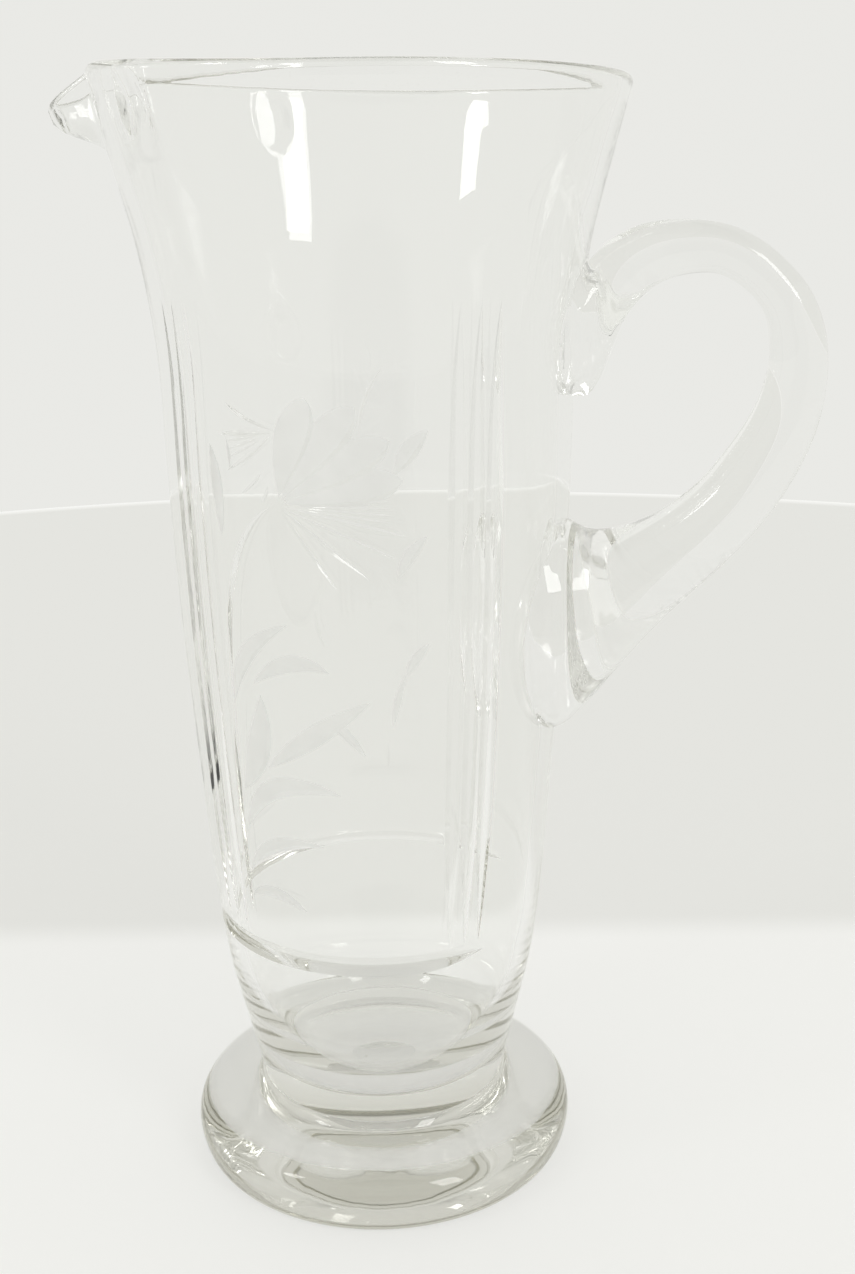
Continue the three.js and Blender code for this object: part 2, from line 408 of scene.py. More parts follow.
def ray(
    eye: tuple[float, float], degrees: float, near: float, far: float, bend: float = 0.0
) -> tuple[tuple[float, float], ...]:
    """A line that leaves a flower's eye at an angle, on the flat panel.

    Args:
        eye: The flower's eye, in millimetres.
        degrees: Direction, 0 to the right and 90 upwards.
        near: Distance from the eye where the line starts.
        far: Distance from the eye where it ends.
        bend: How far the middle is pushed to the left of the line's run.

    Returns:
        Start, bow and end, in millimetres.
    """
    along = Vector((math.cos(math.radians(degrees)), math.sin(math.radians(degrees))))
    side = Vector((-along.y, along.x))
    centre = Vector(eye)
    middle = centre + along * (near + far) / 2 + side * bend
    return tuple(centre + along * near), tuple(middle), tuple(centre + along * far)


@dataclass(frozen=True)
class Panel:
    """The engraved flower spray on the front, between the two groups of flutes.

    Places on the panel are (across, height) in millimetres, with across counted to the right from the
    panel's middle as seen from outside.
    """

    middle: float  # turn of the panel's middle line
    flower_eye: tuple[float, float] = (-10.0, 201.5)
    petal_degrees: tuple[float, ...] = (72.0, 49.5, 29.0, 11.0)
    petal_reach: tuple[float, ...] = (27.0, 31.0, 32.0, 31.5)
    petal_width: float = 9.4
    petal_depth: float = 0.95
    stamen_degrees: tuple[float, ...] = (2.2, -1.2, -4.8, -8.4)
    # degrees, far end and width of the longer lines below the stamens
    long_lines: tuple[tuple[float, float, float], ...] = (
        (-13.6, 32.5, 2.3), (-24.0, 32.0, 1.3), (-38.6, 29.0, 1.4), (-55.0, 25.5, 1.0),
    )  # fmt: skip
    bud_eye: tuple[float, float] = (-10.2, 218.7)
    bud_degrees: tuple[float, ...] = (191.0, 199.0, 207.0)

    def _stroke(self, line: tuple[tuple[float, float], ...], **cut: object) -> Stroke:
        """A stroke whose line is given on the flat panel.

        Args:
            line: Start, bow and end as (across, height) in millimetres.
            cut: The other fields of the stroke.

        Returns:
            The stroke on the round wall.
        """
        places = [
            (self.middle + across / OUTER_WALL.radius(height), height) for across, height in line
        ]
        return Stroke(*places, **cut)

    def petals(self) -> list[Stroke]:
        """The flower's broad petals, each a slanted satin hollow that is deepest on its right.

        Returns:
            One broad stroke for each petal.
        """
        made = []
        for degrees, reach in zip(self.petal_degrees, self.petal_reach):
            line = ray(self.flower_eye, degrees, 2.0, reach, 1.2)
            made.append(
                self._stroke(
                    line, width=self.petal_width, depth=self.petal_depth, finish=Finish.SATIN_CUT,
                    taper=0.62, belly=1.5, lean=0.8, hollow=1.0, columns=6, rows=18,
                )
            )  # fmt: skip
        return made

    def stamens(self) -> list[Stroke]:
        """The bright lines that fan out of the flower's eye.

        Returns:
            The fine strokes, then the longer ones.
        """
        made = []
        for degrees in self.stamen_degrees:
            line = ray(self.flower_eye, degrees, 7.5, 28.8)
            made.append(self._stroke(line, width=1.1, depth=0.5, finish=Finish.BRIGHT_CUT, taper=0.7))
        for degrees, far, width in self.long_lines:
            line = ray(self.flower_eye, degrees, 1.0, far)
            made.append(
                self._stroke(line, width=width, depth=0.4 * width, finish=Finish.BRIGHT_CUT, taper=0.8)
            )
        return made

    def bud(self) -> list[Stroke]:
        """The small half-open flower at the upper left.

        Returns:
            Its dark top line, hem, arch, edge and inner lines.
        """
        dark = ray(self.bud_eye, 183.5, 0.5, 16.6)
        hem = ray(self.bud_eye, 215.5, 0.5, 17.0, 1.0)
        arch = ((-9.8, 219.4), (-16.5, 220.6), (-23.8, 225.4))
        edge = ((-24.2, 217.2), (-23.0, 213.0), (-23.2, 208.9))
        made = [
            self._stroke(dark, width=1.6, depth=0.75, finish=Finish.BRIGHT_CUT),
            self._stroke(hem, width=1.5, depth=0.6, finish=Finish.BRIGHT_CUT),
            self._stroke(arch, width=0.9, depth=0.45, finish=Finish.BRIGHT_CUT),
            self._stroke(edge, width=0.9, depth=0.4, finish=Finish.SATIN_CUT),
        ]
        for degrees in self.bud_degrees:
            line = ray(self.bud_eye, degrees, 4.0, 14.6)
            made.append(self._stroke(line, width=0.8, depth=0.35, finish=Finish.BRIGHT_CUT))
        return made

    def stems(self) -> list[Stroke]:
        """The stem that rises at the left and the fine tendrils.

        Returns:
            The thick strokes, then the fine ones.
        """
        thick = (
            ((-26.5, 88.0), (-29.0, 118.0), (-27.0, 150.0)),
            ((-27.2, 147.0), (-29.0, 190.0), (-11.6, 201.2)),
        )
        fine = (
            ((17.2, 234.7), (11.0, 228.0), (10.7, 218.4)),
            ((-13.5, 209.7), (-16.0, 206.0), (-20.1, 203.4)),
            ((-12.1, 206.2), (-12.6, 204.0), (-14.0, 201.7)),
            ((-1.3, 177.2), (-1.8, 171.0), (1.0, 166.0)),
            ((15.6, 139.0), (15.6, 137.0), (15.3, 134.5)),
        )
        bright = Finish.BRIGHT_CUT
        made = [self._stroke(line, width=1.7, depth=0.6, finish=bright, run_out=0.3) for line in thick]
        return made + [self._stroke(line, width=1.0, depth=0.45, finish=bright) for line in fine]

    def leaves(self) -> list[Stroke]:
        """The pointed leaves: a slanted satin hollow each.

        Returns:
            One stroke for each leaf.
        """
        leaves = (
            ((-26.5, 92.5), (-18.0, 99.0), (-8.0, 91.5), 3.4),
            ((-26.0, 100.0), (-19.0, 113.5), (-2.0, 111.5), 4.0),
            ((-25.5, 113.0), (-19.0, 133.0), (3.0, 126.5), 5.5),
            ((-26.0, 124.0), (-17.5, 136.0), (-18.0, 152.0), 7.5),
            ((-17.0, 132.0), (-4.0, 142.5), (11.5, 152.0), 5.5),
            ((-27.0, 148.0), (-25.5, 164.0), (-8.9, 171.4), 4.5),
            ((-20.0, 154.5), (-9.0, 165.5), (1.5, 159.5), 4.5),
            ((1.0, 147.5), (5.0, 144.0), (9.8, 137.5), 2.6),
            ((19.2, 209.0), (22.0, 215.0), (27.2, 219.2), 4.6),
            ((18.9, 183.2), (21.5, 189.5), (26.6, 193.8), 3.2),
            ((20.2, 158.2), (23.0, 163.5), (26.6, 166.6), 2.6),
            ((16.9, 145.0), (17.6, 152.0), (20.6, 159.2), 1.8),
            ((-27.5, 192.0), (-27.5, 206.0), (-30.0, 215.0), 4.0),
        )
        made = []
        for base, bow, tip, width in leaves:
            made.append(
                self._stroke(
                    (base, bow, tip), width=width, depth=0.1 * width + 0.12, finish=Finish.SATIN_CUT,
                    taper=0.85, lean=0.7, columns=4, rows=16,
                )
            )  # fmt: skip
        return made

    def strokes(self) -> list[Stroke]:
        """Every cut of the panel."""
        return self.petals() + self.stamens() + self.bud() + self.stems() + self.leaves()


@dataclass(frozen=True)
class FluteGroup:
    """Three hollow flutes side by side, which run out to points above and below."""

    middle: float
    pitch: float = math.radians(5.625)
    count: int = 3
    low: float = 79.5
    high: float = 248.5
    width: float = 5.3
    depth: float = 1.05

    def strokes(self) -> list[Stroke]:
        """One long stroke for each flute.

        Returns:
            The strokes, from the left to the right.
        """
        made = []
        for number in range(self.count):
            turn = self.middle + (number - (self.count - 1) / 2) * self.pitch
            middle_height = (self.low + self.high) / 2
            made.append(
                Stroke(
                    (turn, self.low), (turn, middle_height), (turn, self.high),
                    width=self.width, depth=self.depth, finish=Finish.BRIGHT_CUT, run_out=0.3, taper=0.85,
                    hollow=1.15, columns=6, rows=60,
                )
            )  # fmt: skip
        return made


@dataclass
class Body:
    """The blown body: flared mouth, pulled lip, cut flutes, ring cut and engraved panel."""

    name: str = "blown_body"
    steps: int = 360
    outer_rows: int = 100
    inner_rows: int = 56
    floor_rows: int = 16
    rim_rows: int = 9
    base_height: float = 17.0
    wall_top: float = 298.1
    rim_middle: float = 66.75
    rim_half_width: float = 1.37
    rim_rise: float = 1.9
    floor_path: Path = Path(
        ((36.4, 48.0), (32.6, 39.0), (28.0, 32.0), (22.0, 27.6), (14.0, 25.8), (6.0, 26.2), (0.0, 26.4))
    )
    base_rows: int = 4
    lip_turn: float = math.pi
    lip_half_angle: float = math.radians(24.0)
    lip_narrowing: float = 2.3  # how pointed the lip is from above
    lip_reach: float = 16.7
    lip_drop: float = 7.5
    lip_bend: tuple[float, float] = (279.0, 297.0)  # heights between which the wall turns outwards
    fall: tuple[float, float] = (283.0, 297.0)  # heights between which it sinks
    rim_climb: float = 3.6
    climb_angles: tuple[float, float] = (math.radians(95.0), math.radians(20.0))  # from the lip
    dimple_from_lip: float = math.radians(52.0)
    dimple_height: float = 291.6
    dimple_radius: float = 5.8
    dimple_depth: float = 2.2
    dimple_inside: float = 0.45  # how much of a dimple shows on the inner face
    ring_height: float = 76.3
    ring_width: float = 6.0
    ring_depth: float = 1.25
    ring_clear: float = math.radians(40.0)  # kept plain on each side of the handle
    front: float = -math.pi / 2
    flutes_from_front: float = math.radians(42.1875)
    flute_depths: tuple[float, float] = (0.4, 1.55)  # left and right of the front

    def outline(self) -> list[Vector]:
        """The wall's section, from the middle of the base round to the middle of the floor inside.

        Returns:
            Points in metres, in the XZ plane.
        """
        base_radius = OUTER_WALL.radius(self.base_height)
        bottom = self.base_height - FUSED_OVERLAP / MM
        points = [(row * base_radius / self.base_rows, bottom) for row in range(self.base_rows)]
        for row in range(self.outer_rows + 1):
            height = bottom + (self.wall_top - self.base_height) * row / self.outer_rows
            points.append((OUTER_WALL.radius(height), height))
        for row in range(1, self.rim_rows):
            angle = math.pi * row / self.rim_rows
            points.append(
                (
                    self.rim_middle + self.rim_half_width * math.cos(angle),
                    self.wall_top + self.rim_rise * math.sin(angle),
                )
            )
        floor_start = self.floor_path.stations[1][1]
        for row in range(self.inner_rows + 1):
            height = self.wall_top + (floor_start - self.wall_top) * row / self.inner_rows
            points.append((INNER_WALL.radius(height), height))
        last = len(self.floor_path.stations) - 1
        for row in range(1, self.floor_rows + 1):
            points.append(self.floor_path.at((1 + (last - 1) * row / self.floor_rows) / last))
        return [Vector((max(radius, 0.0), 0.0, height)) * MM for radius, height in points]

    def shape_mouth(self, shape: bmesh.types.BMesh) -> None:
        """Pulls the lip out and presses the two dimples beside it.

        Args:
            shape: The turned body, changed in place.
        """
        for point in shape.verts:
            height = point.co.z / MM
            if height < self.lip_bend[0] - self.dimple_radius:
                continue
            turn = math.atan2(point.co.y, point.co.x)
            radius = point.co.xy.length / MM
            from_lip = self.lip_turn - abs(turn)
            swell = 0.5 + 0.5 * math.cos(math.pi * min(from_lip / self.lip_half_angle, 1.0))
            pull = swell**self.lip_narrowing
            inside = radius < (OUTER_WALL.radius(height) + INNER_WALL.radius(height)) / 2
            arc = (from_lip - self.dimple_from_lip) * radius
            away = math.hypot(arc, height - self.dimple_height) / self.dimple_radius
            press = self.dimple_depth * max(1 - away * away, 0.0) * (self.dimple_inside if inside else 1.0)
            out = radius + self.lip_reach * pull * ease(height, *self.lip_bend) - press
            near_lip = 1 - ease(from_lip, self.climb_angles[1], self.climb_angles[0])
            climb = self.rim_climb * near_lip * ease(height, self.fall[0], self.wall_top + self.rim_rise)
            drop = self.lip_drop * pull * ease(height, *self.fall)
            point.co = Vector((out * math.cos(turn), out * math.sin(turn), height + climb - drop)) * MM

    def strokes(self) -> list[Stroke]:
        """Every cut on the body.

        Returns:
            The ring cut, the flutes, then the engraving.
        """
        ring = Stroke(
            (self.ring_clear, self.ring_height),
            (math.pi, self.ring_height),
            (math.tau - self.ring_clear, self.ring_height),
            width=self.ring_width, depth=self.ring_depth, finish=Finish.BRIGHT_CUT, run_out=0.09, taper=0.9,
            hollow=1.25, columns=8, rows=220,
        )  # fmt: skip
        made = [ring]
        for turn, depth in zip((-self.flutes_from_front, self.flutes_from_front), self.flute_depths):
            made += FluteGroup(self.front + turn, depth=depth).strokes()
        return made + Panel(self.front).strokes()

    def cutting_tools(self) -> list[bpy.types.Object]:
        """The cuts as solids, sorted into objects inside which no two touch.

        Returns:
            One object for each batch.
        """
        batches: list[bmesh.types.BMesh] = []
        taken: list[list[tuple[Vector, Vector]]] = []
        for stroke in self.strokes():
            shape = stroke.tool()
            corners = [point.co for point in shape.verts]
            low = Vector(min(c[k] for c in corners) for k in range(3))
            high = Vector(max(c[k] for c in corners) for k in range(3))
            for batch, boxes in zip(batches, taken):
                clear = all(
                    any(low[k] > other_high[k] or high[k] < other_low[k] for k in range(3))
                    for other_low, other_high in boxes
                )
                if clear:
                    break
            else:
                batch, boxes = bmesh.new(), []
                batches.append(batch)
                taken.append(boxes)
            boxes.append((low, high))
            passing = bpy.data.meshes.new("passing")
            shape.to_mesh(passing)
            shape.free()
            batch.from_mesh(passing)
            bpy.data.meshes.remove(passing)
        return [add_object(f"cutting_{number}", batch) for number, batch in enumerate(batches)]

    def build(self, glass: "PitcherGlass") -> bpy.types.Object:
        """Makes the body, cuts it and dresses it.

        Args:
            glass: What it is made of.

        Returns:
            The finished object.
        """
        shape = turned(self.outline(), self.steps)
        for face in shape.faces:
            if face.calc_center_median().z < Foot.seat_top * MM:
                face.material_index = Finish.FUSED.value
        self.shape_mouth(shape)
        piece = add_object(self.name, shape)
        glass.dress(piece)
        carve(piece, [*self.cutting_tools(), Handle().imprint()])
        crisp_cuts(piece, crease_degrees=14.0)
        glass.mark(piece)
        return piece


@dataclass
class Foot:
    """The thick round foot with its seat for the body and a ground hollow beneath."""

    name: str = "fused_foot"
    steps: int = 240
    side: Path = Path(
        (
            (52.6, 0.0), (54.3, 1.0), (55.5, 4.4), (55.9, 8.2), (55.1, 11.6), (53.0, 14.2), (49.8, 15.9),
            (46.2, 16.9), (42.8, 17.7), (40.0, 18.7), (38.0, 19.9), (36.7, 21.2), (35.8, 22.6),
        )
    )  # fmt: skip
    side_rows: int = 56
    seat_rows: int = 6
    seat_height: float = 17.0
    seat_top: float = 22.4
    hollow_radius: float = 12.2
    hollow_depth: float = 1.2

    def outline(self) -> list[Vector]:
        """The foot's section, from the middle of the underside round to the middle of the seat.

        Returns:
            Points in metres, in the XZ plane.
        """
        shares = [row / self.seat_rows for row in range(self.seat_rows + 1)]
        hollow = [(self.hollow_radius * share, self.hollow_depth * (1 - share**2)) for share in shares]
        flat = [(20.0, 0.0), (32.0, 0.0), (44.0, 0.0)]
        sides = [self.side.at(row / self.side_rows) for row in range(self.side_rows)]
        overlap = FUSED_OVERLAP / MM
        seat = []
        for share in shares:
            height = self.seat_top + (self.seat_height - self.seat_top) * share
            seat.append((OUTER_WALL.radius(height) - overlap, height))
        floor = [(radius, self.seat_height) for radius in (28.0, 20.0, 10.0, 0.0)]
        points = hollow + flat + sides + seat + floor
        return [Vector((radius, 0.0, height)) * MM for radius, height in points]

    def build(self, glass: "PitcherGlass") -> bpy.types.Object:
        """Makes and dresses the foot.

        Args:
            glass: What it is made of.

        Returns:
            The finished object.
        """
        shape = turned(self.outline(), self.steps)
        just_under_seat = self.seat_height - FUSED_OVERLAP / MM
        for face in shape.faces:
            centre = face.calc_center_median() / MM
            if centre.xy.length < self.hollow_radius and centre.z < self.hollow_depth:
                face.material_index = Finish.GROUND.value
            elif centre.z > just_under_seat and centre.xy.length < OUTER_WALL.radius(centre.z):
                face.material_index = Finish.FUSED.value
        piece = add_object(self.name, shape)
        glass.dress(piece)
        crisp_cuts(piece, crease_degrees=30.0)
        glass.mark(piece)
        return piece


@dataclass
class Handle:
    """The drawn handle: a solid rod looped back to the wall, wide where it is pressed on."""

    name: str = "drawn_handle"
    rounds: int = 48
    lengths: int = 190
    squareness: float = 2.1
    between_seals: float = 206.0  # a height between the two seals
    tool_span: tuple[float, float] = (100.0, 285.0)  # heights the wall tool reaches between
    tool_rows: int = 60
    tool_steps: int = 240
    # outer edge x and z, inner edge x and z, half width, from the upper seal round to the lower one
    stations: tuple[tuple[float, ...], ...] = (
        (46.0, 252.0, 46.0, 223.0, 15.5),
        (53.0, 254.5, 53.0, 222.0, 16.0),
        (58.5, 256.5, 58.5, 222.2, 13.5),
        (62.0, 259.8, 61.8, 226.5, 10.5),
        (66.5, 262.6, 64.3, 233.2, 8.6),
        (71.5, 264.6, 67.9, 241.6, 7.6),
        (77.0, 265.5, 73.2, 248.0, 7.0),
        (83.5, 265.7, 79.8, 251.6, 6.8),
        (90.0, 265.0, 88.3, 252.7, 6.8),
        (97.5, 262.4, 94.0, 250.8, 6.8),
        (105.3, 257.2, 98.8, 247.2, 6.9),
        (112.9, 249.0, 102.2, 242.6, 7.0),
        (117.2, 239.2, 103.6, 236.6, 7.3),
        (118.5, 228.0, 103.6, 229.0, 7.6),
        (116.8, 214.8, 100.9, 219.6, 8.1),
        (111.9, 202.0, 95.5, 210.2, 8.8),
        (104.3, 189.5, 88.2, 200.5, 9.6),
        (95.0, 178.5, 80.5, 193.9, 10.6),
        (84.5, 168.0, 73.0, 189.4, 12.0),
        (75.0, 157.5, 66.5, 187.0, 14.0),
        (66.5, 147.0, 61.0, 186.3, 17.0),
        (60.0, 139.0, 57.0, 187.0, 20.5),
        (55.0, 133.5, 53.0, 189.0, 23.5),
        (50.0, 131.5, 48.5, 190.5, 25.5),
        (44.0, 133.0, 43.0, 190.0, 25.5),
    )

    def place(self, round_share: float, share: float) -> Vector:
        """A point of the handle's skin.

        Args:
            round_share: Share of the way round the section.
            share: Share of the way from the upper seal to the lower one.

        Returns:
            The point, in metres.
        """
        outer_x, outer_z, inner_x, inner_z, half_width = Path(self.stations).at(share)
        angle = math.tau * round_share
        power = 2 / self.squareness
        out = math.copysign(abs(math.cos(angle)) ** power, math.cos(angle))
        side = math.copysign(abs(math.sin(angle)) ** power, math.sin(angle))
        weight = (1 + out) / 2
        return (
            Vector(
                (
                    inner_x + (outer_x - inner_x) * weight,
                    half_width * side,
                    inner_z + (outer_z - inner_z) * weight,
                )
            )
            * MM
        )

    def wall_tool(self, sunk: float) -> bpy.types.Object:
        """The body's outer wall as a solid, which trims the handle's two seals.

        Args:
            sunk: How far inside the wall the trimmed face of the lower seal lies, in metres.

        Returns:
            The tool. The lower seal runs into the wall; the upper one was only pressed on, and a hair
            of air is left behind it.
        """
        low, high = self.tool_span
        points = [(0.0, low)]
        for row in range(self.tool_rows + 1):
            height = low + (high - low) * row / self.tool_rows
            inwards = sunk if height < self.between_seals else -FUSED_OVERLAP
            points.append((OUTER_WALL.radius(height) - inwards / MM, height))
        points.append((0.0, high))
        outline = [Vector((radius, 0.0, height)) * MM for radius, height in points]
        shape = turned(outline, self.tool_steps)
        for face in shape.faces:
            if face.calc_center_median().z < self.between_seals * MM:
                face.material_index = Finish.FUSED.value
        return add_object("wall_tool", shape)

    def imprint(self) -> bpy.types.Object:
        """The handle's ends as a tool, which marks where they run into the body.

        Returns:
            The tool, all of whose cuts count as fused faces.
        """
        shape = skin_over(self.rounds, self.lengths, self.place)
        tool = add_object("imprint", shape)
        carve(tool, [self.wall_tool(FUSED_OVERLAP)])
        faces = tool.data.polygons
        faces.foreach_set("material_index", [Finish.FUSED.value] * len(faces))
        return tool

    def build(self, glass: "PitcherGlass") -> bpy.types.Object:
        """Makes, trims and dresses the handle.

        Args:
            glass: What it is made of.

        Returns:
            The finished object.
        """
        shape = skin_over(self.rounds, self.lengths, self.place)
        piece = add_object(self.name, shape)
        glass.dress(piece)
        carve(piece, [self.wall_tool(2 * FUSED_OVERLAP)])
        crisp_cuts(piece, crease_degrees=30.0)
        glass.mark(piece)
        return piece


@dataclass(frozen=True)
class NodeKit:
    """Small helpers for one node tree."""

    tree: bpy.types.NodeTree

    def node(self, kind: str, **values: object) -> bpy.types.Node:
        """Adds a node and sets its properties and inputs.

        Args:
            kind: The node's type name.
            values: Properties by name; a name that isn't a property is an input's name with
                underscores for spaces.

        Returns:
            The node.
        """
        made = self.tree.nodes.new(kind)
        for name, value in values.items():
            if hasattr(made, name):
                setattr(made, name, value)
            else:
                made.inputs[name.replace("_", " ")].default_value = value
        return made

    def link(self, start: bpy.types.NodeSocket, end: bpy.types.NodeSocket) -> None:
        """Joins an output to an input."""
        self.tree.links.new(start, end)

    def pattern(self, group: str, place: bpy.types.NodeSocket, **values: float) -> bpy.types.Node:
        """Places a shared pattern.

        Args:
            group: The node group's name.
            place: The coordinates that it reads.
            values: Inputs of the group.

        Returns:
            The group's node.
        """
        made = self.node("ShaderNodeGroup", node_tree=bpy.data.node_groups[group], **values)
        self.link(place, made.inputs["Place"])
        return made

    def scaled(self, value: bpy.types.NodeSocket, by: float) -> bpy.types.NodeSocket:
        """A value times a number.

        Args:
            value: The value to scale.
            by: The number.

        Returns:
            The product.
        """
        made = self.node("ShaderNodeMath", operation="MULTIPLY")
        made.inputs[1].default_value = by
        self.link(value, made.inputs[0])
        return made.outputs["Value"]

    def mixed(
        self, mask: bpy.types.NodeSocket, off: bpy.types.NodeSocket, on: bpy.types.NodeSocket
    ) -> bpy.types.NodeSocket:
        """One value where the mask is 0 and another where it is 1.

        Args:
            mask: Where to use which value.
            off: The value where the mask is 0.
            on: The value where the mask is 1.

        Returns:
            The mixed value.
        """
        made = self.node("ShaderNodeMix", data_type="FLOAT")
        self.link(mask, made.inputs["Factor"])
        self.link(off, made.inputs["A"])
        self.link(on, made.inputs["B"])
        return made.outputs["Result"]


def new_group(name: str, inputs: dict[str, float], outputs: tuple[str, ...]) -> bpy.types.NodeTree:
    """A node group with float inputs, a vector input called Place and float outputs.

    Args:
        name: The group's name.
        inputs: Default value of each input.
        outputs: Names of the outputs.

    Returns:
        The group's tree, with its input and output nodes in place.
    """
    tree = bpy.data.node_groups.new(name, "ShaderNodeTree")
    tree.interface.new_socket("Place", in_out="INPUT", socket_type="NodeSocketVector")
    for label, value in inputs.items():
        socket = tree.interface.new_socket(label, in_out="INPUT", socket_type="NodeSocketFloat")
        socket.default_value = value
    for label in outputs:
        tree.interface.new_socket(label, in_out="OUTPUT", socket_type="NodeSocketFloat")
    tree.nodes.new("NodeGroupInput").name = "in"
    tree.nodes.new("NodeGroupOutput").name = "out"
    return tree


def blown_ripple() -> bpy.types.NodeTree:
    """Slow waves that blowing and reheating leave in the skin, with faint drawn streaks.

    Returns:
        The pattern, which puts out a height.
    """
    tree = new_group("blown_ripple", {"Wave": 22.0, "Streak": 0.3}, ("Height",))
    kit = NodeKit(tree)
    given, result = tree.nodes["in"], tree.nodes["out"]
    waves = kit.node("ShaderNodeTexNoise", Detail=1.0, Roughness=0.4)
    kit.link(given.outputs["Place"], waves.inputs["Vector"])
    kit.link(given.outputs["Wave"], waves.inputs["Scale"])
    drawn = kit.node("ShaderNodeMapping", Scale=(160.0, 160.0, 9.0))
    kit.link(given.outputs["Place"], drawn.inputs["Vector"])
    streaks = kit.node("ShaderNodeTexNoise", Scale=1.0, Detail=1.5)
    kit.link(drawn.outputs["Vector"], streaks.inputs["Vector"])
    both = kit.node("ShaderNodeMath", operation="MULTIPLY_ADD")
    kit.link(streaks.outputs["Fac"], both.inputs[0])
    kit.link(given.outputs["Streak"], both.inputs[1])
    kit.link(waves.outputs["Fac"], both.inputs[2])
    kit.link(both.outputs["Value"], result.inputs["Height"])
    return tree


def handling_haze() -> bpy.types.NodeTree:
    """Dust, dried drops and fine rubs: where the shine is a little dulled.

    Returns:
        The pattern, which puts out a roughness and a mask of dust.
    """
    tree = new_group("handling_haze", {"Clean": 0.0, "Dull": 0.08}, ("Roughness", "Dust"))
    kit = NodeKit(tree)
    given, result = tree.nodes["in"], tree.nodes["out"]
    patches = kit.node("ShaderNodeTexNoise", Scale=38.0, Detail=3.0)
    kit.link(given.outputs["Place"], patches.inputs["Vector"])
    specks = kit.node("ShaderNodeTexNoise", Scale=1500.0, Detail=1.0)
    kit.link(given.outputs["Place"], specks.inputs["Vector"])
    rare = kit.node("ShaderNodeMapRange", From_Min=0.68, From_Max=0.76)
    kit.link(specks.outputs["Fac"], rare.inputs["Value"])
    soft = kit.node("ShaderNodeMapRange", From_Min=0.5, From_Max=0.8)
    kit.link(patches.outputs["Fac"], soft.inputs["Value"])
    dust = kit.node("ShaderNodeMath", operation="MULTIPLY")
    kit.link(rare.outputs["Result"], dust.inputs[0])
    kit.link(soft.outputs["Result"], dust.inputs[1])
    dull = kit.node("ShaderNodeMapRange")
    kit.link(soft.outputs["Result"], dull.inputs["Value"])
    kit.link(given.outputs["Clean"], dull.inputs["To Min"])
    kit.link(given.outputs["Dull"], dull.inputs["To Max"])
    kit.link(dull.outputs["Result"], result.inputs["Roughness"])
    kit.link(dust.outputs["Value"], result.inputs["Dust"])
    return tree


def wheel_marks() -> bpy.types.NodeTree:
    """The fine scratches that a cutting wheel leaves, uneven from place to place.

    Returns:
        The pattern, which puts out a roughness and a height.
    """
    tree = new_group("wheel_marks", {"Smooth": 0.25, "Coarse": 0.5}, ("Roughness", "Height"))
    kit = NodeKit(tree)
    given, result = tree.nodes["in"], tree.nodes["out"]
    along = kit.node("ShaderNodeMapping", Scale=(2600.0, 2600.0, 500.0))
    kit.link(given.outputs["Place"], along.inputs["Vector"])
    scratches = kit.node("ShaderNodeTexNoise", Scale=1.0, Detail=2.0)
    kit.link(along.outputs["Vector"], scratches.inputs["Vector"])
    patches = kit.node("ShaderNodeTexNoise", Scale=220.0, Detail=2.0)
    kit.link(given.outputs["Place"], patches.inputs["Vector"])
    spread = kit.node("ShaderNodeMapRange", From_Min=0.3, From_Max=0.7)
    kit.link(patches.outputs["Fac"], spread.inputs["Value"])
    kit.link(given.outputs["Smooth"], spread.inputs["To Min"])
    kit.link(given.outputs["Coarse"], spread.inputs["To Max"])
    kit.link(spread.outputs["Result"], result.inputs["Roughness"])
    kit.link(scratches.outputs["Fac"], result.inputs["Height"])
    return tree


@dataclass(frozen=True)
class GlassFinish:
    """How one finish looks: its least and greatest roughness, and how deep its texture is."""

    finish: Finish
    roughness: tuple[float, float]
    bump_depth: float

    def mask(self) -> str:
        """Name of the face attribute that marks this finish."""
        return self.finish.name.lower()


